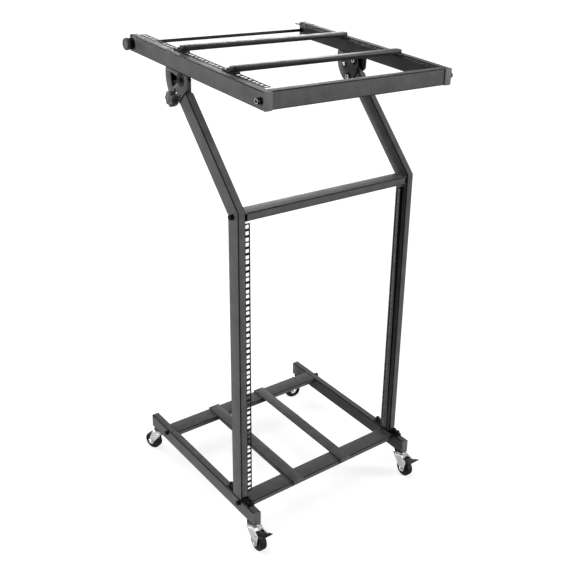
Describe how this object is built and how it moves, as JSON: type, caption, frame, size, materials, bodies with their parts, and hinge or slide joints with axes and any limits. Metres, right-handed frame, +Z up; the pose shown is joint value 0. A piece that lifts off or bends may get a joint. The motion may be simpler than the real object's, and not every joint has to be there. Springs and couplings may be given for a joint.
{
  "type": "studio rack stand",
  "caption": "Rolling studio rack stand: upright rack posts with perforated strips, leaning arms and a tilting top frame, on a base with shelf straps and swivel casters.",
  "frame": {"origin": "on the floor, in the middle of the floor space that the stand covers at rest", "axes": "+Z up, -Y towards the user at the front, +X to the right as seen from the front"},
  "size_m": [0.5756, 0.623, 1.2375],
  "materials": {
    "frame_paint": "satin black powder coat",
    "strip_paint": "satin black powder coat",
    "black_steel": "black oxide",
    "knob_plastic": "moulded",
    "zinc": "bright zinc plate",
    "wheel_black": "matt",
    "pedal_black": "moulded"
  },
  "bodies": {
    "base": {"left_runner": "frame_paint", "right_runner": "frame_paint", "front_base_crossbar": "frame_paint", "rear_base_crossbar": "frame_paint", "front_left_crossbar_bolt": "black_steel", "front_right_crossbar_bolt": "black_steel", "rear_left_crossbar_bolt": "black_steel", "rear_right_crossbar_bolt": "black_steel", "left_post_foot": "black_steel", "right_post_foot": "black_steel", "left_post": "frame_paint", "right_post": "frame_paint", "left_post_strip": "strip_paint", "right_post_strip": "strip_paint", "mid_crossbar": "frame_paint", "left_mid_bar_bolt": "black_steel", "right_mid_bar_bolt": "black_steel", "left_arm_tongue": "black_steel", "right_arm_tongue": "black_steel", "front_left_caster_stem": "zinc", "front_right_caster_stem": "zinc", "rear_left_caster_stem": "zinc", "rear_right_caster_stem": "zinc"},
    "top_frame": {"left_top_rail": "frame_paint", "right_top_rail": "frame_paint", "left_top_strip": "strip_paint", "right_top_strip": "strip_paint", "top_front_bar": "frame_paint", "left_top_bar_bolt": "black_steel", "right_top_bar_bolt": "black_steel", "left_tilt_bracket": "frame_paint", "right_tilt_bracket": "frame_paint", "left_pivot_bolt": "zinc", "right_pivot_bolt": "zinc", "left_lock_bolt": "zinc", "right_lock_bolt": "zinc", "rear_tie_rod": "black_steel"},
    "front_support_bar": {"front_support_bar": "frame_paint"},
    "rear_support_bar": {"rear_support_bar": "frame_paint"},
    "left_shelf_strap": {"left_shelf_strap": "frame_paint"},
    "right_shelf_strap": {"right_shelf_strap": "frame_paint"},
    "left_lock_knob": {"left_lock_knob": "knob_plastic"},
    "right_lock_knob": {"right_lock_knob": "knob_plastic"},
    "left_tie_knob": {"left_tie_knob": "knob_plastic"},
    "right_tie_knob": {"right_tie_knob": "knob_plastic"},
    "front_left_caster": {"front_left_caster_fork": "zinc", "front_left_caster_axle": "zinc"},
    "front_left_wheel": {"front_left_caster_wheel": "wheel_black"},
    "front_left_pedal": {"front_left_brake_pedal": "pedal_black"},
    "front_right_caster": {"front_right_caster_fork": "zinc", "front_right_caster_axle": "zinc"},
    "front_right_wheel": {"front_right_caster_wheel": "wheel_black"},
    "front_right_pedal": {"front_right_brake_pedal": "pedal_black"},
    "rear_left_caster": {"rear_left_caster_fork": "zinc", "rear_left_caster_axle": "zinc"},
    "rear_left_wheel": {"rear_left_caster_wheel": "wheel_black"},
    "rear_right_caster": {"rear_right_caster_fork": "zinc", "rear_right_caster_axle": "zinc"},
    "rear_right_wheel": {"rear_right_caster_wheel": "wheel_black"}
  },
  "joints": [
    {"name": "top_frame_tilt", "type": "hinge", "parent": "base", "child": "top_frame", "pos_m": [0, 0.03079, 1.16874], "axis": [1, 0, 0], "range_deg": [-1.75, 40]},
    {"name": "front_support_bar_slide", "type": "slide", "parent": "top_frame", "child": "front_support_bar", "axis": [0, 0.9995, 0.0305], "range_m": [-0.102, 0.098]},
    {"name": "rear_support_bar_slide", "type": "slide", "parent": "top_frame", "child": "rear_support_bar", "axis": [0, 0.9995, 0.0305], "range_m": [-0.04, 0.15]},
    {"name": "left_shelf_strap_slide", "type": "slide", "parent": "base", "child": "left_shelf_strap", "axis": [1, 0, 0], "range_m": [-0.12, 0.06]},
    {"name": "right_shelf_strap_slide", "type": "slide", "parent": "base", "child": "right_shelf_strap", "axis": [1, 0, 0], "range_m": [-0.05, 0.15]},
    {"name": "left_lock_knob_turn", "type": "hinge", "parent": "top_frame", "child": "left_lock_knob", "pos_m": [-0.277, 0.05256, 1.12152], "axis": [1, 0, 0], "range_deg": [-180, 180]},
    {"name": "left_tie_knob_turn", "type": "hinge", "parent": "top_frame", "child": "left_tie_knob", "pos_m": [-0.276, 0.26615, 1.20995], "axis": [1, 0, 0], "range_deg": [-180, 180]},
    {"name": "right_lock_knob_turn", "type": "hinge", "parent": "top_frame", "child": "right_lock_knob", "pos_m": [0.277, 0.05256, 1.12152], "axis": [1, 0, 0], "range_deg": [-180, 180]},
    {"name": "right_tie_knob_turn", "type": "hinge", "parent": "top_frame", "child": "right_tie_knob", "pos_m": [0.276, 0.26615, 1.20995], "axis": [1, 0, 0], "range_deg": [-180, 180]},
    {"name": "front_left_swivel", "type": "hinge", "parent": "base", "child": "front_left_caster", "pos_m": [-0.256, -0.24546, 0.06], "axis": [0, 0, 1], "continuous": true},
    {"name": "front_left_wheel_roll", "type": "hinge", "parent": "front_left_caster", "child": "front_left_wheel", "pos_m": [-0.256, -0.27146, 0.025], "axis": [1, 0, 0], "continuous": true},
    {"name": "front_left_pedal_press", "type": "hinge", "parent": "front_left_caster", "child": "front_left_pedal", "pos_m": [-0.256, -0.27946, 0.054], "axis": [1, 0, 0], "range_deg": [0, 12]},
    {"name": "front_right_swivel", "type": "hinge", "parent": "base", "child": "front_right_caster", "pos_m": [0.256, -0.24546, 0.06], "axis": [0, 0, 1], "continuous": true},
    {"name": "front_right_wheel_roll", "type": "hinge", "parent": "front_right_caster", "child": "front_right_wheel", "pos_m": [0.256, -0.27146, 0.025], "axis": [1, 0, 0], "continuous": true},
    {"name": "front_right_pedal_press", "type": "hinge", "parent": "front_right_caster", "child": "front_right_pedal", "pos_m": [0.256, -0.27946, 0.054], "axis": [1, 0, 0], "range_deg": [0, 12]},
    {"name": "rear_left_swivel", "type": "hinge", "parent": "base", "child": "rear_left_caster", "pos_m": [-0.256, 0.26054, 0.06], "axis": [0, 0, 1], "continuous": true},
    {"name": "rear_left_wheel_roll", "type": "hinge", "parent": "rear_left_caster", "child": "rear_left_wheel", "pos_m": [-0.26489, 0.28497, 0.025], "axis": [0.9397, 0.342, 0], "continuous": true},
    {"name": "rear_right_swivel", "type": "hinge", "parent": "base", "child": "rear_right_caster", "pos_m": [0.256, 0.26054, 0.06], "axis": [0, 0, 1], "continuous": true},
    {"name": "rear_right_wheel_roll", "type": "hinge", "parent": "rear_right_caster", "child": "rear_right_wheel", "pos_m": [0.23089, 0.26727, 0.025], "axis": [0.2588, 0.9659, 0], "continuous": true}
  ]
}
